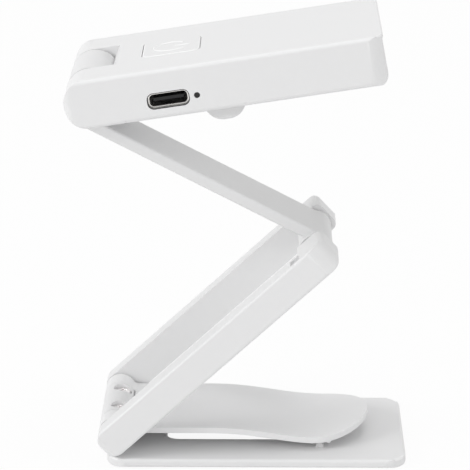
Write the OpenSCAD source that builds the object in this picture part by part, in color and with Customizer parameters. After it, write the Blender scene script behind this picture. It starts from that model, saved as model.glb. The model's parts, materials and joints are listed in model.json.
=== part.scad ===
// Folding clip-on LED lamp: a flat base with a sprung clip, a lower arm of two rails,
// a flat upper arm and a lamp head, which fold onto each other as a flat stack.
// Origin: centre of the underside of the base. X runs along the base, Z is up.

/* [Whole lamp] */
// Width of the base, the lower arm and the head, across the hinges
lamp_width = 38.2; // [36:0.2:46]
// Free play between faces of pieces that turn past each other
turn_gap = 0.3; // [0.2:0.05:0.4]
// Radial play of a shaft in the piece that turns on it
shaft_play = 0.05; // [0.02:0.01:0.08]
// Radius of the three hinge shafts
shaft_r = 1.4; // [1.1:0.05:1.6]
// Wall that closes the front end of each shaft hole
shaft_skin = 1.2; // [0.8:0.1:2]

/* [Pose] */
// Rise of the lower arm from the base
lower_tilt = 42.8; // [30:0.2:60]
// Fall of the upper arm from the head to the elbow
upper_tilt = 27.6; // [15:0.2:40]
// Rise of the head towards its free end
head_tilt = 8.8; // [0:0.2:20]

/* [Base] */
// Length of the base plate
base_length = 68.4; // [66:0.2:84]
// Thickness of the base, pad included
base_thickness = 2.2; // [1.8:0.1:3]
// Corner radius of the base plate in plan
base_corner = 5; // [2:0.5:8]
// Rounding of the long and short edges of the base plate
base_edge = 0.7; // [0.3:0.1:0.8]
// Distance of the base hinge axis from the end of the base
hinge_inset = 1.75; // [1.5:0.05:4]
// Left end of the window in the base, from the hinge axis
window_start = 11.6; // [9:0.2:16]
// Length of the window in the base
window_length = 29.8; // [16:0.2:31]
// Width of the window in the base
window_width = 13.5; // [8:0.5:20]
// Width of the wall that frames the window and the rim under the plate
base_wall = 1.5; // [1:0.1:2.5]
// Thickness of the plate's top skin
base_skin = 0.9; // [0.7:0.05:1]
// Height of the non-slip pad
pad_height = 0.6; // [0.4:0.05:0.7]
// How far the pad stands below the rim of the plate
pad_proud = 0.15; // [0.05:0.05:0.3]

/* [Clip] */
// Width of the hinge block between the knuckles of the clip
block_width = 16.8; // [14:0.2:18.4]
// Play between the hinge block and the knuckles of the clip
clip_gap = 0.15; // [0.1:0.05:0.3]
// Distance of the block's screws from the hinge axis
screw_offset = 0.85; // [0:0.05:1]
// Distance between the two screws of the hinge block
screw_pitch = 10.6; // [8:0.2:11.4]
// Radius of the screw recesses in the hinge block
recess_r = 2.1; // [2:0.05:2.4]
// Length of the clip paddle from the hinge axis
paddle_length = 58.3; // [54:0.1:58.4]
// Thickness of the clip paddle
paddle_thickness = 1.36; // [1.1:0.02:1.5]
// Height of the paddle's middle over the base at its root
paddle_root = 4.9; // [4.6:0.02:5]
// Height of the paddle's middle over the base where it grips
paddle_low = 2.45; // [2.35:0.05:3]
// Height of the paddle's middle over the base at its lip
paddle_lip = 4.85; // [3.65:0.1:4.95]
// Place of the grip from the hinge axis
grip_reach = 46.6; // [44:0.2:48]
// Height of the ribs on the paddle
paddle_rib = 0.6; // [0.3:0.05:0.7]
// Height of the rib on the base
base_rib = 0.9; // [0.5:0.05:1]

/* [Lower arm] */
// Distance between the base hinge axis and the elbow axis
lower_length = 62.45; // [62.4:0.05:72]
// Height of the lower arm
arm_height = 7.24; // [7:0.02:7.6]
// Clearance between the folded lower arm and the base
arm_clearance = 0.72; // [0.7:0.02:1.2]
// Width of each rail
rail_width = 5; // [4:0.1:5.2]
// Depth of each elbow ear across the arm
ear_depth = 9.5; // [8:0.1:10]
// Length of the ears behind the elbow axis
ear_back = 2.6; // [2.4:0.1:3]
// Length of the ears past the elbow axis
ear_front = 4.3; // [2.6:0.1:4.4]
// Corner radius of the ears seen from the side
ear_corner = 1.7; // [0.6:0.1:2]
// Corner radius of the ears seen from above
ear_plan_corner = 4.6; // [1.5:0.1:4.8]
// Rounding of the outer edges of the arm
arm_edge = 0.6; // [0.3:0.1:1]

/* [Upper arm] */
// Distance between elbow and head axis along the upper arm
upper_length = 61.25; // [61.2:0.05:71]
// Play between the upper arm and each ear of the head
strap_play = 0.6; // [0.4:0.05:2.5]
// Thickness of the upper arm
strap_thickness = 2.7; // [2.2:0.05:2.7]
// Radius of the elbow barrel
elbow_r = 3.85; // [3.7:0.05:4.1]
// Gap between the folded head and the upper arm
fold_gap = 0.05; // [0.05:0.05:0.4]

/* [Head] */
// Length of the head past its hinge axis
head_reach = 65.3; // [65.3:0.1:76]
// Height of the head
head_height = 11; // [10.6:0.1:12]
// Depth of each head ear across the lamp
head_ear_depth = 10.5; // [9:0.1:10.6]
// End of the hinge slot from the head axis
slot_end = 6.4; // [6.4:0.1:7]
// Plan radius of the corners at the free end
head_corner = 4; // [2:0.25:5]
// Rounding of the long edges of the head
head_edge = 1; // [0.3:0.1:1.2]
// Wall thickness of the head housing
head_wall = 1.4; // [1.2:0.05:1.5]
// Thickness of the bottom cover
cover_thickness = 0.95; // [0.9:0.05:1.2]
// Distance of the light window from the fold bumper
light_gap = 2.7; // [2.7:0.1:8]
// Distance of the light window from each long side
light_side = 4.6; // [4.4:0.1:9]
// Distance of the light window from the free end
light_inset = 3.7; // [3.7:0.1:6]

/* [Button and port] */
// Place of the button from the head axis
button_x = 18.55; // [17.6:0.05:19]
// Length of the button hole along the head
button_length = 13.2; // [10:0.1:13.2]
// Width of the button hole across the head
button_width = 13.6; // [10:0.1:16]
// Gap around the button
button_gap = 0.15; // [0.1:0.05:0.25]
// Travel of the button
button_travel = 0.35; // [0.2:0.05:0.4]
// Place of the charging port from the head axis
port_x = 17.4; // [17:0.1:18.4]
// Height of the port over the underside of the head
port_height = 4.1; // [3.9:0.05:4.3]
// Place of the indicator light from the head axis
indicator_x = 23.7; // [23.2:0.1:26]
// Radius of the indicator hole
indicator_r = 0.68; // [0.5:0.02:0.9]
// Place of the fold bumper from the head axis
bumper_x = 29.1; // [28.6:0.1:29.6]
// Place of the fold bumper from the front of the head
bumper_inset = 8; // [7.9:0.05:8.1]
// Width of the fold bumper across the head
bumper_width = 5; // [3:0.1:5.2]
// Length of the fold bumper along the head
bumper_length = 10.6; // [9:0.1:10.8]
// Height of the fold bumper
bumper_height = 3.95; // [3:0.05:4]

/* [Hidden] */
$fn = 64;

// Overshoot of cutting tools
cut = 1;
half = lamp_width / 2;
fit_play = 0.02;
// Plan radius of the corners round the base hinge and the head hinge
root_corner = 1.9;

// Hinge axes
arm_r = arm_height / 2;
hinge_x = -base_length / 2 + hinge_inset;
hinge_z = base_thickness + arm_clearance + arm_r;
elbow_x = hinge_x + lower_length * cos(lower_tilt);
elbow_z = hinge_z + lower_length * sin(lower_tilt);
head_r = head_height / 2;
head_rise = elbow_r + fold_gap + head_r;
head_x = elbow_x - upper_length * cos(upper_tilt) + head_rise * sin(upper_tilt);
head_z = elbow_z + upper_length * sin(upper_tilt) + head_rise * cos(upper_tilt);

// Places across the lamp
rail_inner = half - rail_width;
ear_inner = half - ear_depth;
slot_half = half - head_ear_depth;
strap_width = 2 * (slot_half - strap_play);
block_half = block_width / 2;
paddle_half = rail_inner - 0.5;
knuckle_r = arm_r - 0.02;
shaft_front = -half + shaft_skin + 0.1;
shaft_rear = half - 0.3;
washer_t = 0.3;
washer_gap = 0.1;
washer_r = 2.9;

// Base
rim_low = pad_proud;
weight_low = pad_height;
weight_high = base_thickness - base_skin;
window_x = hinge_x + window_start + window_length / 2;
window_corner = 3;
screw_r = 0.8;
screw_head_r = 1.85;
screw_head_h = 1.05;
recess_floor = shaft_r + 0.35;
block_back = 1.6;
rib_x = hinge_x + grip_reach + 0.4;
rib_length = 2 * paddle_half - 4.4;

// Torsion springs in the knuckles of the clip
spring_wire = 0.25;
spring_r = 2.05;
spring_turns = 5;
spring_pitch = 0.56;
spring_pocket_r = 2.6;
spring_pocket = 3.3;
spring_sides = 6;
spring_rings = 12;

// Clip paddle: flat root, S-shaped fall to the grip, lip that turns up
paddle_drop = base_thickness - hinge_z;
root_end = 20;
paddle_steps = 40;
function ease(t) = (1 - cos(180 * t)) / 2;
function paddle_mid(x) =
    paddle_drop + (
        x < root_end ? paddle_root :
        x < grip_reach ? paddle_root
            - (paddle_root - paddle_low) * ease(pow((x - root_end) / (grip_reach - root_end), 1.25)) :
        paddle_low
            + (paddle_lip - paddle_low) * pow((x - grip_reach) / (paddle_length - grip_reach), 1.6));
paddle_start = 0.5;
function paddle_x(i) = paddle_start + (paddle_length - paddle_start) * i / paddle_steps;

// Charging port
port_z = -head_r + port_height;
port_l = 8.94;
port_h = 3.26;
port_corner = 1.25;
port_wall = 0.3;
port_depth = 7.3;
port_cut = 0.2;
port_face = -half + 0.9;

// Inside of the head
cavity_start = slot_end + 1.6;
cavity_end = head_reach - head_wall;
cavity_half = half - head_wall;
cavity_top = head_r - head_wall;
cover_top = -head_r + cover_thickness;
cover_start = slot_end + 0.95;
cover_gap = 0.05;
lip_gap = 0.15;
lip_width = 0.9;
lip_height = 0.7;
bumper_y = half - bumper_inset;
light_start = bumper_x + bumper_length / 2 + light_gap;
light_length = head_reach - light_inset - light_start;
light_width = lamp_width - 2 * light_side;
light_x = light_start + light_length / 2;
light_flange = 1;
flange_t = 1.1;
frame_t = 1.55;
led_board_t = 0.8;
led_h = 0.7;
tape_t = 0.4;
foam_t = 0.8;
flange_top = cover_top + flange_t;
frame_top = flange_top + frame_t;
led_board_top = frame_top + led_board_t;
battery_low = led_board_top + tape_t;
battery_high = cavity_top - foam_t;
board_top = -head_r + port_height - port_h / 2 - fit_play;
board_start = cavity_start + 4.6;
board_end = light_start - 4.8;
board_half = cavity_half - lip_gap - lip_width - 0.2;
cover_screw_x = [cavity_start + 2.15, light_start - 2.9];
cover_screw_y = cavity_half - 3;
boss_r = 1.7;

// Button and switch
cap_proud = 0.12;
cap_flange = 0.85;
cap_flange_t = 0.35;
cap_low = cavity_top - 0.2 - cap_flange_t;
switch_size = 6;
switch_high = board_top + 3.4;
plunger_r = 1.7;
plunger_high = switch_high + 1.5;

// Profile given as x and z, drawn out between two places across the lamp
module span(y0, y1) {
    translate([0, y1, 0])
        rotate([90, 0, 0])
            linear_extrude(height = y1 - y0)
                children();
}

// Profile given as y and z, drawn out between two places along the lamp
module run(x0, x1) {
    translate([x0, 0, 0])
        rotate([90, 0, 90])
            linear_extrude(height = x1 - x0)
                children();
}

module layer(z0, z1) {
    translate([0, 0, z0])
        linear_extrude(height = z1 - z0)
            children();
}

module rounded_rect(l, w, r) {
    square([l - 2 * r, w], center = true);
    square([l, w - 2 * r], center = true);
    for (sx = [-1, 1], sy = [-1, 1])
        translate([sx * (l / 2 - r), sy * (w / 2 - r)])
            circle(r);
}

// Rectangle with one corner radius at its low end and another at its high end
module end_rounded_rect(x0, x1, w, r0, r1) {
    translate([x0 + r0, -w / 2])
        square([x1 - x0 - r0 - r1, w]);
    translate([x0, -w / 2 + r0])
        square([r0 + 0.01, w - 2 * r0]);
    translate([x1 - r1 - 0.01, -w / 2 + r1])
        square([r1 + 0.01, w - 2 * r1]);
    for (s = [-1, 1]) {
        translate([x0 + r0, s * (w / 2 - r0)])
            circle(r0);
        translate([x1 - r1, s * (w / 2 - r1)])
            circle(r1);
    }
}

// Frames of the moving parts
module at_base_hinge() {
    translate([hinge_x, 0, hinge_z])
        children();
}

module in_lower_arm() {
    at_base_hinge()
        rotate([0, -lower_tilt, 0])
            children();
}

module in_upper_arm() {
    translate([elbow_x, 0, elbow_z])
        rotate([0, upper_tilt, 0])
            children();
}

module in_head() {
    translate([head_x, 0, head_z])
        rotate([0, -head_tilt, 0])
            children();
}

module hinge_shaft() {
    span(shaft_front, shaft_rear)
        circle(shaft_r);
}

// Hole for a shaft: closed at the front of the lamp, open at the back
module shaft_hole(play) {
    span(-half + shaft_skin, half + cut)
        circle(shaft_r + play);
}

module washer_pair(face) {
    for (s = [-1, 1])
        span(s > 0 ? face - washer_t : -face, s > 0 ? face : -face + washer_t)
            difference() {
                circle(washer_r);
                circle(shaft_r + shaft_play);
            }
}

// Base
module base_outline(inset) {
    rounded_rect(base_length - 2 * inset, lamp_width - 2 * inset, base_corner - inset);
}

module window_outline(wall) {
    translate([window_x, 0])
        rounded_rect(window_length + 2 * wall, window_width + 2 * wall, window_corner + wall);
}

module each_block_screw() {
    for (s = [-1, 1])
        translate([hinge_x + screw_offset, s * screw_pitch / 2, 0])
            children();
}

module base_plate() {
    height = base_thickness - rim_low;
    color("white")
        difference() {
            union() {
                intersection() {
                    layer(rim_low, base_thickness)
                        base_outline(0);
                    translate([0, 0, rim_low + height / 2])
                        span(-half, half)
                            rounded_rect(base_length, height, base_edge);
                    translate([0, 0, rim_low + height / 2])
                        run(-base_length / 2, base_length / 2)
                            rounded_rect(lamp_width, height, base_edge);
                }
                translate([rib_x, 0, base_thickness])
                    span(-rib_length / 2, rib_length / 2)
                        intersection() {
                            circle(base_rib);
                            translate([-base_rib, -0.2])
                                square([2 * base_rib, base_rib + 0.2]);
                        }
            }
            layer(-cut, weight_high)
                difference() {
                    base_outline(base_wall);
                    window_outline(base_wall);
                }
            layer(-cut, base_thickness + cut)
                window_outline(0);
            each_block_screw()
                layer(0, base_thickness + cut)
                    circle(screw_r + shaft_play);
        }
}

module base_weight() {
    color("silver")
        layer(weight_low, weight_high)
            difference() {
                base_outline(base_wall + 0.1);
                window_outline(base_wall + 0.1);
                each_block_screw()
                    circle(screw_r + fit_play);
            }
}

module base_pad() {
    color("gainsboro")
        layer(0, pad_height)
            difference() {
                base_outline(base_wall + 0.05);
                window_outline(base_wall + 0.05);
            }
}

// Hinge block: a barrel on a foot, held down by two screws from above
module hinge_block() {
    foot = hinge_z - base_thickness;
    color("white")
        difference() {
            at_base_hinge()
                span(-block_half, block_half) {
                    circle(knuckle_r);
                    translate([-block_back, -foot])
                        square([block_back + knuckle_r, foot]);
                }
            at_base_hinge()
                span(-half, half)
                    circle(shaft_r + fit_play);
            each_block_screw() {
                layer(0, hinge_z + recess_floor + cut)
                    circle(screw_r + shaft_play);
                layer(hinge_z + recess_floor, hinge_z + knuckle_r + cut)
                    circle(recess_r);
            }
        }
}

module base_screws() {
    screw_top = hinge_z + recess_floor + screw_head_h;
    color("silver")
        each_block_screw()
            difference() {
                union() {
                    layer(weight_low + 0.05, hinge_z + recess_floor + 0.1)
                        circle(screw_r);
                    layer(hinge_z + recess_floor, screw_top)
                        circle(screw_head_r);
                }
                layer(screw_top - 0.55, screw_top + cut)
                    for (turn = [0, 90])
                        rotate(turn)
                            square([2.1, 0.42], center = true);
            }
}

module base_shaft() {
    color("silver")
        difference() {
            at_base_hinge()
                hinge_shaft();
            each_block_screw()
                layer(0, hinge_z + recess_floor)
                    circle(screw_r + shaft_play);
        }
}

// One torsion spring: a wire wound round the shaft, from y0 outwards
function ring_point(a, t) = [
    (spring_r + spring_wire * cos(a)) * cos(t),
    spring_pitch * t / 360 + spring_wire * sin(a),
    (spring_r + spring_wire * cos(a)) * sin(t)
];

module torsion_spring() {
    last = spring_turns * spring_rings;
    points = [
        for (i = [0:last], k = [0:spring_sides - 1])
            ring_point(360 * k / spring_sides, 360 * i / spring_rings)
    ];
    sides = [
        for (i = [0:last - 1], k = [0:spring_sides - 1])
            let (n = (k + 1) % spring_sides, a = i * spring_sides, b = a + spring_sides)
                each [[a + k, b + k, a + n], [a + n, b + k, b + n]]
    ];
    first_cap = [for (k = [1:spring_sides - 2]) [0, k, k + 1]];
    last_cap = [for (k = [1:spring_sides - 2]) let (a = last * spring_sides) [a, a + k + 1, a + k]];
    polyhedron(points = points, faces = concat(sides, first_cap, last_cap), convexity = 4);
}

module clip_springs() {
    start = block_half + spring_wire + 0.02;
    color("silver")
        at_base_hinge() {
            translate([0, start, 0])
                torsion_spring();
            mirror([0, 1, 0])
                translate([0, start, 0])
                    torsion_spring();
        }
}

// Clip paddle
module paddle_strip() {
    upper = [for (i = [0:paddle_steps]) [paddle_x(i), paddle_mid(paddle_x(i)) + paddle_thickness / 2]];
    lower = [for (i = [paddle_steps:-1:0]) [paddle_x(i), paddle_mid(paddle_x(i)) - paddle_thickness / 2]];
    polygon(concat(upper, lower));
}

module paddle_plan() {
    translate([0, -paddle_half])
        square([paddle_length - paddle_half, 2 * paddle_half]);
    translate([paddle_length - paddle_half, 0])
        circle(paddle_half);
}

// Concave corner between the knuckle and the top of the paddle
module paddle_fillet() {
    r = 1.6;
    top = paddle_mid(0) + paddle_thickness / 2;
    reach = sqrt(pow(knuckle_r + r, 2) - pow(top + r, 2));
    touch = knuckle_r / (knuckle_r + r);
    difference() {
        polygon([[0, top - 0.3], [0, (top + r) * touch], [reach * touch, (top + r) * touch], [reach, top],
                 [reach, top - 0.3]]);
        translate([reach, top + r])
            circle(r);
    }
}

module clip_paddle() {
    inner = block_half + clip_gap;
    color("white")
        at_base_hinge()
            difference() {
                union() {
                    intersection() {
                        span(-paddle_half, paddle_half)
                            paddle_strip();
                        layer(-arm_height, arm_height)
                            paddle_plan();
                    }
                    for (s = [-1, 1])
                        span(s > 0 ? inner : -paddle_half, s > 0 ? paddle_half : -inner) {
                            circle(knuckle_r);
                            paddle_fillet();
                        }
                    for (x = [grip_reach - 1.4, grip_reach + 2.4])
                        translate([x, 0, paddle_mid(x) - paddle_thickness / 2])
                            span(-rib_length / 2 - 1, rib_length / 2 + 1)
                                intersection() {
                                    circle(paddle_rib);
                                    translate([-paddle_rib, -paddle_rib])
                                        square([2 * paddle_rib, paddle_rib + 0.2]);
                                }
                }
                span(-inner, inner)
                    circle(knuckle_r + turn_gap);
                span(-half, half)
                    circle(shaft_r + shaft_play);
                span(-inner - spring_pocket, inner + spring_pocket)
                    circle(spring_pocket_r);
            }
}

// Lower arm: each rail ends in a deeper ear that carries the elbow shaft
module rail_profile(x0) {
    x1 = lower_length + ear_front;
    translate([x0, -arm_r])
        square([x1 - ear_corner - x0, arm_height]);
    translate([x1 - ear_corner - 0.01, -arm_r + ear_corner])
        square([ear_corner + 0.01, arm_height - 2 * ear_corner]);
    for (s = [-1, 1])
        translate([x1 - ear_corner, s * (arm_r - ear_corner)])
            circle(ear_corner);
}

// Both rails together, with the outer edges rounded
module rails() {
    ear_start = lower_length - ear_back;
    notch_length = 2.4;
    notch_width = 2.8;
    notch_depth = 1.3;
    difference() {
        intersection() {
            union() {
                for (s = [-1, 1]) {
                    span(s > 0 ? rail_inner : -half, s > 0 ? half : -rail_inner) {
                        circle(arm_r);
                        rail_profile(0);
                    }
                    span(s > 0 ? ear_inner : -half, s > 0 ? half : -ear_inner)
                        rail_profile(ear_start);
                }
            }
            run(-arm_height, lower_length + arm_height)
                rounded_rect(lamp_width, arm_height, arm_edge);
            layer(-arm_height, arm_height)
                end_rounded_rect(-arm_r, lower_length + ear_front, lamp_width, root_corner, ear_plan_corner);
        }
        for (s = [-1, 1])
            translate([ear_start - notch_length / 2 + 0.4, s * (rail_inner + rail_width / 2), arm_r])
                cube([notch_length, notch_width, 2 * notch_depth], center = true);
        shaft_hole(shaft_play);
        translate([lower_length, 0, 0])
            shaft_hole(fit_play);
    }
}

module arm_rail(s) {
    color("white")
        in_lower_arm()
            intersection() {
                rails();
                translate([lower_length / 2, s * half, 0])
                    cube([2 * lower_length, lamp_width, 4 * arm_height], center = true);
            }
}

module arm_rail_front() {
    arm_rail(-1);
}

module arm_rail_rear() {
    arm_rail(1);
}

module elbow_shaft() {
    color("silver")
        in_upper_arm()
            hinge_shaft();
}

module elbow_washers() {
    color("dimgray")
        in_upper_arm()
            washer_pair(ear_inner);
}

// Upper arm: a flat strap, tangent to the top of the elbow barrel, that ends under the head barrel
module upper_arm() {
    barrel_half = ear_inner - washer_t - washer_gap;
    head_barrel_half = slot_half - washer_t - washer_gap;
    strap_r = strap_thickness / 2;
    strap_mid = elbow_r - strap_r;
    corner_r = 2;
    below = head_rise - elbow_r;
    reach = sqrt(pow(head_r + corner_r, 2) - pow(below - corner_r, 2));
    touch = head_r / (head_r + corner_r);
    lean = asin((head_r - strap_r) / (below + strap_r));
    color("white")
        in_upper_arm()
            difference() {
                union() {
                    span(-barrel_half, barrel_half)
                        circle(elbow_r);
                    translate([0, 0, strap_mid])
                        run(-upper_length, 0)
                            rounded_rect(strap_width, strap_thickness, 0.5);
                    translate([-upper_length, 0, head_rise]) {
                        span(-head_barrel_half, head_barrel_half)
                            circle(head_r);
                        span(-strap_width / 2, strap_width / 2) {
                            translate([0, -below - strap_r])
                                circle(strap_r);
                            polygon([
                                [0, 0], [-head_r * cos(lean), -head_r * sin(lean)],
                                [-strap_r * cos(lean), -below - strap_r - strap_r * sin(lean)],
                                [0, -below - strap_r]
                            ]);
                        }
                        span(-strap_width / 2 + 0.3, strap_width / 2 - 0.3)
                            difference() {
                                polygon([[0, 0], [reach * touch, (corner_r - below) * touch], [reach, -below],
                                         [reach, -below - 1], [0, -below - 1]]);
                                translate([reach, corner_r - below])
                                    circle(corner_r);
                            }
                    }
                }
                span(-half, half)
                    circle(shaft_r + shaft_play);
                translate([-upper_length, 0, head_rise])
                    span(-half, half)
                        circle(shaft_r + shaft_play);
            }
}

// Head: outer form shared by the housing and its bottom cover
module head_form() {
    low_r = 1.8;
    high_r = 0.4;
    draft = 0.25;
    intersection() {
        span(-half, half) {
            circle(head_r);
            polygon([[0, -head_r], [head_reach - low_r, -head_r], [head_reach - draft, head_r - high_r],
                     [head_reach - high_r, head_r], [0, head_r]]);
            polygon([[head_reach - low_r, -head_r], [head_reach - low_r, head_r - high_r],
                     [head_reach - draft, head_r - high_r - 1], [head_reach, low_r - head_r]]);
            translate([head_reach - low_r, low_r - head_r])
                circle(low_r);
            translate([head_reach - high_r, head_r - high_r])
                circle(high_r);
            translate([head_reach - 1, head_r - high_r - 0.6])
                square([1, 0.6]);
        }
        run(-2 * head_r, head_reach + head_r)
            rounded_rect(lamp_width, head_height, head_edge);
        layer(-head_height, head_height)
            end_rounded_rect(-head_r, head_reach, lamp_width, root_corner, head_corner);
    }
}

// Slot for the head barrel: close round the barrel, a ramp above and room for the strap below
module slot_profile() {
    slot_r = head_r + turn_gap;
    valley = 32;
    circle(slot_r);
    translate([-head_height, -head_height])
        square([head_height, 2 * head_height]);
    polygon([[0, 0], [slot_r * cos(valley), slot_r * sin(valley)], [slot_end, head_r],
             [slot_end + 0.3, head_height], [0, head_height]]);
    polygon([[0, 0], [slot_r * cos(valley), -slot_r * sin(valley)], [slot_end, -head_r + 1.6],
             [slot_end, -head_height], [0, -head_height]]);
}

module cavity_plan(inset) {
    width = 2 * (cavity_half - inset);
    end_rounded_rect(cavity_start + inset, cavity_end - inset, width, 1, head_corner - head_wall);
}

module port_outline(grow) {
    translate([port_x, port_z])
        rounded_rect(port_l + 2 * grow, port_h + 2 * grow, port_corner + grow);
}

module each_cover_screw() {
    for (x = cover_screw_x, s = [-1, 1])
        translate([x, s * cover_screw_y, 0])
            children();
}

module head_housing() {
    color("white")
        in_head()
            difference() {
                union() {
                    difference() {
                        head_form();
                        layer(-head_height, cavity_top)
                            cavity_plan(0);
                        translate([cover_start, -half - cut, -head_height])
                            cube([head_reach, lamp_width + 2 * cut, head_height + cover_top]);
                    }
                    each_cover_screw()
                        layer(cover_top, cavity_top + 0.1)
                            circle(boss_r);
                }
                span(-slot_half, slot_half)
                    slot_profile();
                shaft_hole(fit_play);
                translate([button_x, 0, 0])
                    layer(0, head_height)
                        rounded_rect(button_length, button_width, 2);
                span(-half - cut, -half + head_wall + cut)
                    port_outline(port_cut);
                translate([indicator_x, 0, port_z])
                    span(-half - cut, -half + head_wall + cut)
                        circle(indicator_r);
                each_cover_screw()
                    layer(cover_top - cut, cover_top + 4)
                        circle(0.65 + fit_play);
            }
}

module head_cover() {
    color("white")
        in_head()
            difference() {
                union() {
                    intersection() {
                        head_form();
                        translate([cover_start + cover_gap, -half - cut, -head_height])
                            cube([head_reach, lamp_width + 2 * cut, head_height + cover_top]);
                    }
                    layer(cover_top - 0.1, cover_top + lip_height)
                        difference() {
                            cavity_plan(lip_gap);
                            cavity_plan(lip_gap + lip_width);
                        }
                }
                each_cover_screw() {
                    layer(cover_top - 0.05, cover_top + cut)
                        circle(boss_r + 0.15);
                    layer(-head_height, cover_top + cut)
                        circle(0.85);
                    layer(-head_height, -head_r + 0.5)
                        circle(1.45);
                }
                translate([light_x, 0])
                    layer(-head_height, cover_top + cut)
                        rounded_rect(light_length, light_width, 2.5);
                translate([bumper_x, -bumper_y, 0])
                    layer(-head_height, 0)
                        circle(1.4);
            }
}

module cover_screws() {
    color("silver")
        in_head()
            each_cover_screw() {
                layer(-head_r + 0.12, -head_r + 0.5)
                    circle(1.35);
                layer(-head_r + 0.45, cover_top + 3.8)
                    circle(0.65);
            }
}

module head_shaft() {
    color("silver")
        in_head()
            hinge_shaft();
}

module head_washers() {
    color("dimgray")
        in_head()
            washer_pair(slot_half);
}

// Light stack, from the underside upwards
module light_plate(z0, z1, grow, corner) {
    translate([light_x, 0, 0])
        layer(z0, z1)
            rounded_rect(light_length + 2 * grow, light_width + 2 * grow, corner);
}

module diffuser() {
    color("whitesmoke")
        in_head() {
            light_plate(cover_top, flange_top, light_flange, 1);
            light_plate(-head_r + 0.15, cover_top + 0.1, -0.1, 2.4);
        }
}

module reflector_frame() {
    color("white")
        in_head()
            difference() {
                light_plate(flange_top, frame_top, light_flange, 1);
                light_plate(flange_top - cut, frame_top + cut, -0.4, 1);
            }
}

module led_board() {
    color("darkgreen")
        in_head()
            light_plate(frame_top, led_board_top, light_flange, 1);
}

module leds() {
    color("lightyellow")
        in_head()
            translate([light_x, 0, frame_top - led_h])
                for (i = [-1:1], k = [-1.5:1.5])
                    translate([i * light_length / 3.2, k * light_width / 4.4, led_h / 2])
                        cube([2.8, 3.5, led_h], center = true);
}

module battery_tape() {
    color("khaki")
        in_head()
            translate([light_x, 0, led_board_top + tape_t / 2])
                cube([light_length - 8, light_width - 8, tape_t], center = true);
}

module battery() {
    height = battery_high - battery_low;
    color("lightsteelblue")
        in_head()
            translate([light_x, 0, battery_low + height / 2])
                intersection() {
                    run(-light_length / 2, light_length / 2)
                        rounded_rect(light_width + 1, height, 1.2);
                    layer(-height, height)
                        rounded_rect(light_length, light_width + 1, 1.5);
                }
}

module battery_foam() {
    color("gray")
        in_head()
            translate([light_x, 0, battery_high + foam_t / 2])
                cube([light_length - 6, light_width - 8, foam_t], center = true);
}

module main_board() {
    notch = 2 * boss_r + 1;
    color("green")
        in_head() {
            difference() {
                translate([board_start, -board_half, cover_top])
                    cube([board_end - board_start, 2 * board_half, board_top - cover_top]);
                translate([bumper_x, -bumper_y, 0])
                    layer(-head_height, 0)
                        circle(2.6);
            }
            translate([board_end - 4, 6, board_top])
                cube([3, 3, 0.9]);
            translate([button_x - 1.5, 8, board_top])
                cube([5, 5, 0.9]);
            translate([indicator_x - 0.8, -board_half, board_top])
                cube([1.6, 0.9, port_z - board_top + 0.5]);
        }
}

module usb_shell() {
    color("silver")
        in_head()
            difference() {
                span(port_face, port_face + port_depth)
                    port_outline(0);
                span(port_face - cut, port_face + port_depth - port_wall)
                    port_outline(-port_wall);
            }
}

module usb_tongue() {
    back = port_face + port_depth - port_wall;
    color("black")
        in_head() {
            span(port_face + 0.8, back)
                translate([port_x, port_z])
                    square([6.7, 0.7], center = true);
            span(back - 1.2, back)
                port_outline(-port_wall - fit_play);
        }
}

module port_gasket() {
    color("black")
        in_head()
            span(-half + 0.1, -half + head_wall)
                difference() {
                    port_outline(port_cut - fit_play);
                    port_outline(fit_play);
                }
}

module indicator_pipe() {
    color("darkslategray")
        in_head()
            translate([indicator_x, 0, port_z])
                span(-half + 0.35, -board_half)
                    circle(indicator_r - 0.05);
}

module switch_body() {
    color("dimgray")
        in_head()
            difference() {
                translate([button_x, 0, (board_top + switch_high) / 2])
                    cube([switch_size, switch_size, switch_high - board_top], center = true);
                translate([button_x, 0, 0])
                    layer(switch_high - 1.5, switch_high + cut)
                        circle(plunger_r + 0.1);
            }
}

module switch_plunger() {
    color("black")
        in_head()
            translate([button_x, 0, 0])
                layer(switch_high - 1.5 + button_travel + 0.1, plunger_high)
                    circle(plunger_r);
}

module button_cap() {
    cap_length = button_length - 2 * button_gap;
    cap_width = button_width - 2 * button_gap;
    color("white")
        in_head()
            translate([button_x, 0, 0]) {
                layer(cap_low, head_r + cap_proud)
                    rounded_rect(cap_length, cap_width, 2 - button_gap);
                layer(cap_low, cap_low + cap_flange_t)
                    rounded_rect(button_length + 2 * cap_flange, button_width + 2 * cap_flange, 2);
                layer(plunger_high, cap_low + 0.1)
                    circle(plunger_r);
            }
}

// Rounded stop under the head that keeps it off the folded clip: a shallow bowl seen from the side
module bumper_profile() {
    root = bumper_length / 2;
    bowl_r = (pow(root - 0.6, 2) + pow(bumper_height, 2)) / (2 * bumper_height);
    intersection() {
        translate([0, bowl_r - bumper_height])
            circle(bowl_r);
        translate([-root, -bumper_height])
            square([2 * root, bumper_height]);
    }
    polygon([[-root, 0], [-root + 1.6, -1.7], [root - 1.6, -1.7], [root, 0]]);
}

module fold_bumper() {
    side_r = 1.3;
    color("white")
        in_head()
            translate([bumper_x, -bumper_y, -head_r]) {
                intersection() {
                    span(-bumper_width / 2, bumper_width / 2)
                        bumper_profile();
                    run(-bumper_length / 2, bumper_length / 2) {
                        translate([-bumper_width / 2, side_r - bumper_height])
                            square([bumper_width, bumper_height - side_r]);
                        translate([side_r - bumper_width / 2, -bumper_height])
                            square([bumper_width - 2 * side_r, 2 * side_r]);
                        for (s = [-1, 1])
                            translate([s * (bumper_width / 2 - side_r), side_r - bumper_height])
                                circle(side_r);
                    }
                }
                layer(-0.1, cover_thickness)
                    circle(1.35);
                layer(cover_thickness, cover_thickness + 0.5)
                    circle(2);
            }
}

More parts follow.
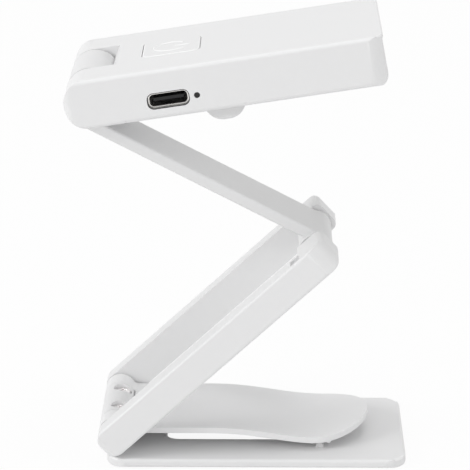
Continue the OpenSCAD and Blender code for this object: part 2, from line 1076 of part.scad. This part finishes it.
base_plate();
base_weight();
base_pad();
hinge_block();
base_screws();
base_shaft();
clip_springs();
clip_paddle();
arm_rail_front();
arm_rail_rear();
elbow_shaft();
elbow_washers();
upper_arm();
head_housing();
head_cover();
cover_screws();
head_shaft();
head_washers();
diffuser();
reflector_frame();
led_board();
leds();
battery_tape();
battery();
battery_foam();
main_board();
usb_shell();
usb_tongue();
port_gasket();
indicator_pipe();
switch_body();
switch_plunger();
button_cap();
fold_bumper();
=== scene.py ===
import json
import math

import bmesh
import bpy
from mathutils import Matrix, Vector

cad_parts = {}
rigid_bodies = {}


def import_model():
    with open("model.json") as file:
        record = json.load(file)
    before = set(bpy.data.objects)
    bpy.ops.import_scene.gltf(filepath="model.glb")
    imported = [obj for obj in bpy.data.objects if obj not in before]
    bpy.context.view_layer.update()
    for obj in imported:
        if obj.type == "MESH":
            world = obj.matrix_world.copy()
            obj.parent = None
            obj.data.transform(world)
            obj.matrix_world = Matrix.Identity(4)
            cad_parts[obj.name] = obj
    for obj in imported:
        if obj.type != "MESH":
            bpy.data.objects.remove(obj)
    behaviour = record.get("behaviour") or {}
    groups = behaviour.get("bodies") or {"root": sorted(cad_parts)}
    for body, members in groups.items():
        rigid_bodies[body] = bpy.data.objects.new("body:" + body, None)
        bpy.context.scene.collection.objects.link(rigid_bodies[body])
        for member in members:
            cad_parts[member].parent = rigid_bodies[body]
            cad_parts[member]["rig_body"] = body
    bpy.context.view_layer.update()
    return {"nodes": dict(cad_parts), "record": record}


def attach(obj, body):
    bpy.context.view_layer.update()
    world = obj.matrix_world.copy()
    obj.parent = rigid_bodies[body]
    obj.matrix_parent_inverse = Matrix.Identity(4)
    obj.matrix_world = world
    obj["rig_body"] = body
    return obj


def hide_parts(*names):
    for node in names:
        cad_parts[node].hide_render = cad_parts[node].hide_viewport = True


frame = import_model()
nodes = frame["nodes"]
scene = bpy.context.scene
MM = 0.001


# Materials. Lengths are in metres, colours are linear.

PAINTED_HIGHLIGHT = "painted_highlight"          # 1 on the faces of rounded rims and raised lines, which carry a painted highlight
PLASTIC_SPECULAR = 0.4
GRAIN_STRENGTH = 0.35
GRAIN_DETAIL = 3.0
BROAD_DETAIL = 2.0
BROAD_RATIO = 14            # how much coarser the change in roughness and tone is than the grain


def new_material(name):
    mat = bpy.data.materials.new(name)
    mat.use_nodes = True
    tree = mat.node_tree
    return mat, tree, tree.nodes["Principled BSDF"]


def noise(tree, coords, scale, detail):
    node = tree.nodes.new("ShaderNodeTexNoise")
    node.inputs["Scale"].default_value = scale
    node.inputs["Detail"].default_value = detail
    tree.links.new(coords.outputs["Object"], node.inputs["Vector"])
    return node.outputs["Fac"]


def grain(tree, shader, scale, depth, rough, spread):
    """Fine surface grain: bump and a little change in roughness. Returns the broad noise."""
    coords = tree.nodes.new("ShaderNodeTexCoord")
    bump = tree.nodes.new("ShaderNodeBump")
    bump.inputs["Strength"].default_value = GRAIN_STRENGTH
    bump.inputs["Distance"].default_value = depth
    tree.links.new(noise(tree, coords, scale, GRAIN_DETAIL), bump.inputs["Height"])
    tree.links.new(bump.outputs["Normal"], shader.inputs["Normal"])
    broad = noise(tree, coords, scale / BROAD_RATIO, BROAD_DETAIL)
    ramp = tree.nodes.new("ShaderNodeMapRange")
    ramp.inputs["To Min"].default_value = rough - spread
    ramp.inputs["To Max"].default_value = rough + spread
    tree.links.new(broad, ramp.inputs["Value"])
    tree.links.new(ramp.outputs["Result"], shader.inputs["Roughness"])
    return broad


def colour_mix(tree, factor, low, high):
    """A mix of two colours, each given as a socket or as a plain colour."""
    mix = tree.nodes.new("ShaderNodeMix")
    mix.data_type = "RGBA"
    tree.links.new(factor, mix.inputs["Factor"])
    for socket, colour in ((mix.inputs[6], low), (mix.inputs[7], high)):
        if isinstance(colour, bpy.types.NodeSocket):
            tree.links.new(colour, socket)
        else:
            socket.default_value = (*colour, 1)
    return mix.outputs[2]


def tinted(tree, factor, colour, change):
    """Lets the base colour wander a little around its value."""
    return colour_mix(tree, factor, [max(0, c - change) for c in colour], [min(1, c + change) for c in colour])


def plastic(name, colour, rough=0.42, scale=9000, depth=0.00001, change=0.006, spread=0.04, worn=0.0):
    """Moulded plastic or rubber; the last argument says how far the marked faces of rounded rims and raised
    lines are lightened towards white, a painted highlight.
    """
    mat, tree, shader = new_material(name)
    shader.inputs["Specular IOR Level"].default_value = PLASTIC_SPECULAR
    tone = tinted(tree, grain(tree, shader, scale, depth, rough, spread), colour, change)
    # Painted highlight: the marked rim faces are lightened towards white.
    if worn:
        edge = tree.nodes.new("ShaderNodeAttribute")
        edge.attribute_name = PAINTED_HIGHLIGHT
        tone = colour_mix(tree, edge.outputs["Fac"], tone, [c + (1 - c) * worn for c in colour])
    tree.links.new(tone, shader.inputs["Base Color"])
    return mat


def metal(name, colour, rough=0.3, scale=7000, depth=0.000006, change=0.03, spread=0.07):
    mat, tree, shader = new_material(name)
    shader.inputs["Metallic"].default_value = 1.0
    tone = tinted(tree, grain(tree, shader, scale, depth, rough, spread), colour, change)
    tree.links.new(tone, shader.inputs["Base Color"])
    return mat


WHITE = (0.80, 0.80, 0.803)
# On white plastics, the last number is the share of painted highlight on their rounded rims and raised lines.
LOOKS = {
    "white_plastic": (plastic, dict(colour=WHITE, worn=0.35)),
    "head_plastic": (plastic, dict(colour=WHITE, worn=0.35)),
    "arm_plastic": (plastic, dict(colour=WHITE, worn=0.55)),
    # The strap's own slightly darker white is deepened further as painted shade for its place under the head.
    "strap_plastic": (plastic, dict(colour=(0.765, 0.765, 0.768), worn=0.35)),
    # Painted light: the clip's white is made lighter than the other white plastic to brighten it under the
    # arms.
    "clip_plastic": (plastic, dict(colour=(0.83, 0.83, 0.833))),
    "button_plastic": (plastic, dict(colour=(0.79, 0.79, 0.793), rough=0.36, worn=0.5)),
    "pad_rubber": (plastic, dict(colour=(0.55, 0.56, 0.57), rough=0.8, scale=5000, depth=0.00003, change=0.02)),
    "weight_steel": (metal, dict(colour=(0.5, 0.5, 0.52), rough=0.35)),
    "pin_steel": (metal, dict(colour=(0.55, 0.55, 0.56), rough=0.25)),
    "screw_steel": (metal, dict(colour=(0.82, 0.8, 0.8), rough=0.25)),
    "spring_steel": (metal, dict(colour=(0.4, 0.4, 0.42), rough=0.3)),
    "port_steel": (metal, dict(colour=(0.88, 0.86, 0.83), rough=0.3)),
    "washer_nylon": (plastic, dict(colour=(0.2, 0.2, 0.21), rough=0.5, change=0.01)),
    "opal_plastic": (plastic, dict(colour=(0.86, 0.86, 0.83), rough=0.5, change=0.01)),
    "frame_plastic": (plastic, dict(colour=(0.85, 0.85, 0.85), rough=0.25, change=0.01)),
    "board_green": (plastic, dict(colour=(0.03, 0.14, 0.06), rough=0.3, change=0.01)),
    "led_white": (plastic, dict(colour=(0.75, 0.7, 0.4), rough=0.35, change=0.02)),
    "tape": (plastic, dict(colour=(0.6, 0.52, 0.32), rough=0.4, change=0.02)),
    "battery_foil": (metal, dict(colour=(0.62, 0.64, 0.68), rough=0.4)),
    "foam": (plastic, dict(colour=(0.2, 0.2, 0.21), rough=0.9, scale=3000, depth=0.00006, change=0.02)),
    "black_plastic": (plastic, dict(colour=(0.012, 0.012, 0.013), rough=0.35, change=0.002)),
    "smoke_plastic": (plastic, dict(colour=(0.015, 0.014, 0.014), rough=0.15, change=0.003, spread=0.02)),
}
mats = {slot: make(slot, **look) for slot, (make, look) in LOOKS.items()}
slot_of = {s["node"]: s["material_slot"] for s in frame["record"]["subparts"]}


def dress(obj, slot):
    obj.data.materials.clear()
    obj.data.materials.append(mats[slot])


for name, obj in nodes.items():
    dress(obj, slot_of[name])


# Directions and places taken from the joints

joints = {j["name"]: j for j in frame["record"]["behaviour"]["joints"]}
BASE_HINGE = Vector(joints["base_hinge"]["pos_m"])
rail = Vector(joints["elbow_hinge"]["pos_m"]) - BASE_HINGE
RAIL_ALONG, RAIL_LENGTH = rail.normalized(), rail.length
HEAD_ORIGIN = Vector(joints["head_hinge"]["pos_m"])
HEAD_UP = -Vector(joints["button_press"]["axis"]).normalized()
FRONT, BACK, UP = Vector((0, -1, 0)), Vector((0, 1, 0)), Vector((0, 0, 1))
HEAD_ALONG = BACK.cross(HEAD_UP)


# Visible mouldings: copies of the CAD solids with soft edges. Widths are in mm, angles in degrees.

STRAP_HALF = 8.0 * MM
PLATE_TOP = 2.2 * MM
RIM_FROM = 3 * MM           # the head's rim starts this far from its hinge
RIM_ABOVE = 2 * MM          # and lies above this height over the hinge axis
RIM_SIDE = 17 * MM          # beside this distance from the middle
RIM_END = 58 * MM           # or beyond this distance from the hinge
RAIL_FROM = 3 * MM          # a rail's edges are rounded from here past the base hinge
RAIL_SHORT = 7 * MM         # to here before the elbow
WELD = 1e-6
PLANE_SLACK = 0.05 * MM
IN_PLANE = 0.995            # least cosine to the plane's normal of a face that lies in it
TURNED_AWAY = 0.6           # greatest cosine to that normal of the face across the edge
FLAT_ANGLE = 0.5
ROUND_ANGLE = 28
SHARP_ANGLE = 32
RIM_SEGMENTS = 4
EDGE_SEGMENTS = 3
FLAT_WEIGHT = 90            # keeps large faces flat where they meet a rounded edge


def everywhere(place):
    return True


def on_head_rim(place):
    along, up = (place - HEAD_ORIGIN).dot(HEAD_ALONG), (place - HEAD_ORIGIN).dot(HEAD_UP)
    return up > RIM_ABOVE and along > RIM_FROM and (abs(place.y) > RIM_SIDE or along > RIM_END)


def between_hinges(place):
    return RAIL_FROM < (place - BASE_HINGE).dot(RAIL_ALONG) < RAIL_LENGTH - RAIL_SHORT


def evaluated_mesh(obj):
    bpy.context.view_layer.update()
    graph = bpy.context.evaluated_depsgraph_get()
    return bpy.data.meshes.new_from_object(obj.evaluated_get(graph))


def apply_modifiers(obj):
    obj.data = evaluated_mesh(obj)
    obj.modifiers.clear()


def bounds_face(edge, normal, offset):
    """True where one face of the edge lies in the plane and the other turns away from it."""
    slopes = sorted(face.normal.dot(normal) for face in edge.link_faces)
    level = all(abs(v.co.dot(normal) - offset) < PLANE_SLACK for v in edge.verts)
    return level and slopes[1] > IN_PLANE and slopes[0] < TURNED_AWAY


def round_rims(bm, planes, width, where):
    """Rounds the outward edges of the flat faces in the given planes and marks the new faces for a painted
    highlight. None means the outermost plane.
    """
    worn = bm.faces.layers.float.new(PAINTED_HIGHLIGHT)
    bm.normal_update()
    planes = [(normal, max(v.co.dot(normal) for v in bm.verts) if offset is None else offset)
              for normal, offset in planes]
    rims = [edge for edge in bm.edges
            if len(edge.link_faces) == 2 and edge.is_convex and all(where(v.co) for v in edge.verts)
            and any(bounds_face(edge, *plane) for plane in planes)]
    if rims:
        made = bmesh.ops.bevel(bm, geom=rims, offset=width * MM, offset_type="OFFSET", segments=RIM_SEGMENTS,
                               profile=0.5, affect="EDGES", clamp_overlap=False, loop_slide=True,
                               miter_outer="ARC")
        # The rounded faces are marked for the painted highlight.
        for face in made["faces"]:
            face[worn] = 1.0


def softened(node, width, planes=(), rim=0.0, where=everywhere):
    """A copy of a CAD node with its sharp edges rounded, which stands for that node."""
    source = nodes[node]
    mesh = source.data.copy()
    mesh.name = node + "_soft"
    obj = bpy.data.objects.new(node + "_soft", mesh)
    scene.collection.objects.link(obj)
    bm = bmesh.new()
    bm.from_mesh(mesh)
    bmesh.ops.remove_doubles(bm, verts=bm.verts, dist=WELD)
    bmesh.ops.dissolve_limit(bm, angle_limit=math.radians(FLAT_ANGLE), verts=bm.verts, edges=bm.edges)
    round_rims(bm, planes, rim, where)
    bm.to_mesh(mesh)
    bm.free()
    bevel = obj.modifiers.new("soft edge", "BEVEL")
    bevel.width = width * MM
    bevel.segments = EDGE_SEGMENTS
    bevel.limit_method = "ANGLE"
    bevel.angle_limit = math.radians(ROUND_ANGLE)
    bevel.miter_outer = "MITER_ARC"
    bevel.use_clamp_overlap = True
    apply_modifiers(obj)
    for poly in obj.data.polygons:
        poly.use_smooth = True
    obj.data.set_sharp_from_angle(angle=math.radians(SHARP_ANGLE))
    level = obj.modifiers.new("flat faces stay flat", "WEIGHTED_NORMAL")
    level.weight = FLAT_WEIGHT
    level.keep_sharp = True
    apply_modifiers(obj)
    dress(obj, slot_of[node])
    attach(obj, source["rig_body"])
    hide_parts(node)


SIDES = [(FRONT, None), (BACK, None)]
softened("head_housing", 0.2, SIDES + [(HEAD_UP, None), (HEAD_ALONG, None)], 0.4, on_head_rim)
softened("head_cover", 0.12)
softened("button_cap", 0.1, [(HEAD_UP, None)], 0.3)
softened("fold_bumper", 0.3)
softened("arm_rail_front", 0.15, SIDES, 0.35, between_hinges)
softened("arm_rail_rear", 0.15, SIDES, 0.35, between_hinges)
softened("upper_arm", 0.25, [(FRONT, STRAP_HALF), (BACK, STRAP_HALF)], 0.4)
softened("hinge_block", 0.2)
softened("clip_paddle", 0.3)
softened("base_plate", 0.15, [(UP, PLATE_TOP)], 0.5)
softened("base_screws", 0.1)
softened("cover_screws", 0.08)


# Power symbol moulded on the button: an open ring and a bar through its opening. In mm, in the head's
# own frame, whose x runs from the hinge to the free end and z up from the hinge axis.

MARK_X = 18.3
RING_R = 3.7
RING_OPEN = 38              # degrees left out on each side of the bar
RING_STEP = 4
BAR_START = 1.0
BAR_END = 4.3
BEAD_R = 0.26
BEAD_SUNK = 0.12
BEAD_RESOLUTION = 4


def in_head(x, y, z):
    return HEAD_ORIGIN + (HEAD_ALONG * x + BACK * y + HEAD_UP * z) * MM


def bead(name, points, radius, body, slot):
    """A thin raised line through points, round in section, marked all over for a painted highlight."""
    curve = bpy.data.curves.new(name, "CURVE")
    curve.dimensions = "3D"
    curve.bevel_depth = radius * MM
    curve.bevel_resolution = BEAD_RESOLUTION
    curve.use_fill_caps = True
    spline = curve.splines.new("POLY")
    spline.points.add(len(points) - 1)
    for point, place in zip(spline.points, points):
        point.co = (*place, 1)
    path = bpy.data.objects.new(name + "_path", curve)
    scene.collection.objects.link(path)
    mesh = evaluated_mesh(path)
    bpy.data.objects.remove(path)
    for poly in mesh.polygons:
        poly.use_smooth = True
    # Every face of the line carries the painted highlight.
    highlight_marks = mesh.attributes.new(PAINTED_HIGHLIGHT, "FLOAT", "FACE")
    highlight_marks.data.foreach_set("value", [1.0] * len(mesh.polygons))
    obj = bpy.data.objects.new(name, mesh)
    scene.collection.objects.link(obj)
    dress(obj, slot)
    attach(obj, body)


cap_top = max((v.co - HEAD_ORIGIN).dot(HEAD_UP) for v in nodes["button_cap"].data.vertices) / MM
mark_z = cap_top - BEAD_SUNK
turns = [math.radians(a) for a in range(RING_OPEN, 361 - RING_OPEN, RING_STEP)]
ring = [in_head(MARK_X + RING_R * math.cos(a), RING_R * math.sin(a), mark_z) for a in turns]
bar = [in_head(MARK_X + x, 0, mark_z) for x in (BAR_START, BAR_END)]
bead("power_ring", ring, BEAD_R, "button", "button_plastic")
bead("power_bar", bar, BEAD_R, "button", "button_plastic")


# Floor and world. Both look plain white to the camera and in reflections, and light the lamp more softly.

FLOOR_HALF = 3
FLOOR_DROP = 0.02 * MM
FLOOR_COLOUR = (0.9, 0.9, 0.9, 1)
FLOOR_ROUGH = 0.9
FLOOR_SPECULAR = 0.1
FLOOR_WHITE = 0.93          # share of plain white; the rest keeps the lamp's shadow
STUDIO_STRENGTH = 0.46
WHITE_LIGHT = (1, 1, 1, 1)
PLAIN_STRENGTH = 1.0


def larger(tree, one, two):
    node = tree.nodes.new("ShaderNodeMath")
    node.operation = "MAXIMUM"
    tree.links.new(one, node.inputs[0])
    tree.links.new(two, node.inputs[1])
    return node.outputs[0]


def backdrop_rays(tree):
    """1 for a ray from the camera, or one that leaves a mirror or glass."""
    rays = tree.nodes.new("ShaderNodeLightPath").outputs
    return larger(tree, rays["Is Camera Ray"], larger(tree, rays["Is Glossy Ray"], rays["Is Transmission Ray"]))


def glow(tree, kind, strength):
    node = tree.nodes.new(kind)
    node.inputs["Color"].default_value = WHITE_LIGHT
    node.inputs["Strength"].default_value = strength
    return node.outputs[0]


def shader_mix(tree, factor, low, high, surface):
    mix = tree.nodes.new("ShaderNodeMixShader")
    for socket, source in zip(mix.inputs, (factor, low, high)):
        tree.links.new(source, socket)
    tree.links.new(mix.outputs[0], surface)


floor_mesh = bpy.data.meshes.new("floor")
corners = [(x * FLOOR_HALF, y * FLOOR_HALF, 0) for x, y in ((-1, -1), (1, -1), (1, 1), (-1, 1))]
floor_mesh.from_pydata(corners, [], [(0, 1, 2, 3)])
floor = bpy.data.objects.new("floor", floor_mesh)
floor.location.z = -FLOOR_DROP
scene.collection.objects.link(floor)
floor_mat, floor_tree, floor_shader = new_material("floor")
floor_shader.inputs["Base Color"].default_value = FLOOR_COLOUR
floor_shader.inputs["Roughness"].default_value = FLOOR_ROUGH
floor_shader.inputs["Specular IOR Level"].default_value = FLOOR_SPECULAR
share = floor_tree.nodes.new("ShaderNodeMath")
share.operation = "MULTIPLY"
share.inputs[1].default_value = FLOOR_WHITE
floor_tree.links.new(backdrop_rays(floor_tree), share.inputs[0])
shader_mix(floor_tree, share.outputs[0], floor_shader.outputs[0],
           glow(floor_tree, "ShaderNodeEmission", PLAIN_STRENGTH),
           floor_tree.nodes["Material Output"].inputs["Surface"])
floor.data.materials.append(floor_mat)

world = bpy.data.worlds.new("studio")
scene.world = world
world.use_nodes = True
sky = world.node_tree
sky.nodes.clear()
shader_mix(sky, backdrop_rays(sky),
           glow(sky, "ShaderNodeBackground", STUDIO_STRENGTH),
           glow(sky, "ShaderNodeBackground", PLAIN_STRENGTH),
           sky.nodes.new("ShaderNodeOutputWorld").inputs["Surface"])


# Lights: place and diameter in metres, power in watts

LIGHT_TARGET = Vector((0, 0, 0.05))
LIGHTS = {
    "top_box": ((0.0, 0.1, 2.2), 1.6, 14.4),
    "front_box": ((-0.3, -1.9, 1.3), 1.4, 6.0),
    "left_box": ((-2.0, -0.9, 0.9), 1.2, 20.0),
    "right_box": ((2.0, -0.9, 0.9), 1.2, 8.5),
}
for name, (place, size, power) in LIGHTS.items():
    light = bpy.data.lights.new(name, "AREA")
    light.shape = "DISK"
    light.size = size
    light.energy = power
    obj = bpy.data.objects.new(name, light)
    obj.location = place
    obj.rotation_euler = (LIGHT_TARGET - Vector(place)).to_track_quat("-Z", "Y").to_euler()
    scene.collection.objects.link(obj)


# Camera of the photograph: place in metres, turns in degrees, focal length in pixels of its square frame

CAMERA_PLACE = (0.00210, -0.53500, 0.22770)
CAMERA_YAW = 0.760          # to the left
CAMERA_PITCH = 18.400       # down
CAMERA_ROLL = -0.090
FOCAL_PX = 2467.0
FRAME_PX = 470
SENSOR_MM = 36
CLIP_NEAR = 0.05
CLIP_FAR = 20

camera = bpy.data.cameras.new("camera")
camera.sensor_width = SENSOR_MM
camera.lens = FOCAL_PX * SENSOR_MM / FRAME_PX
camera.clip_start = CLIP_NEAR
camera.clip_end = CLIP_FAR
cam = bpy.data.objects.new("camera", camera)
cam.location = CAMERA_PLACE
cam.rotation_euler = (Matrix.Rotation(math.radians(CAMERA_YAW), 3, "Z")
                      @ Matrix.Rotation(math.radians(90 - CAMERA_PITCH), 3, "X")
                      @ Matrix.Rotation(math.radians(CAMERA_ROLL), 3, "Z")).to_euler()
scene.collection.objects.link(cam)
scene.camera = cam
scene.view_settings.view_transform = "Standard"
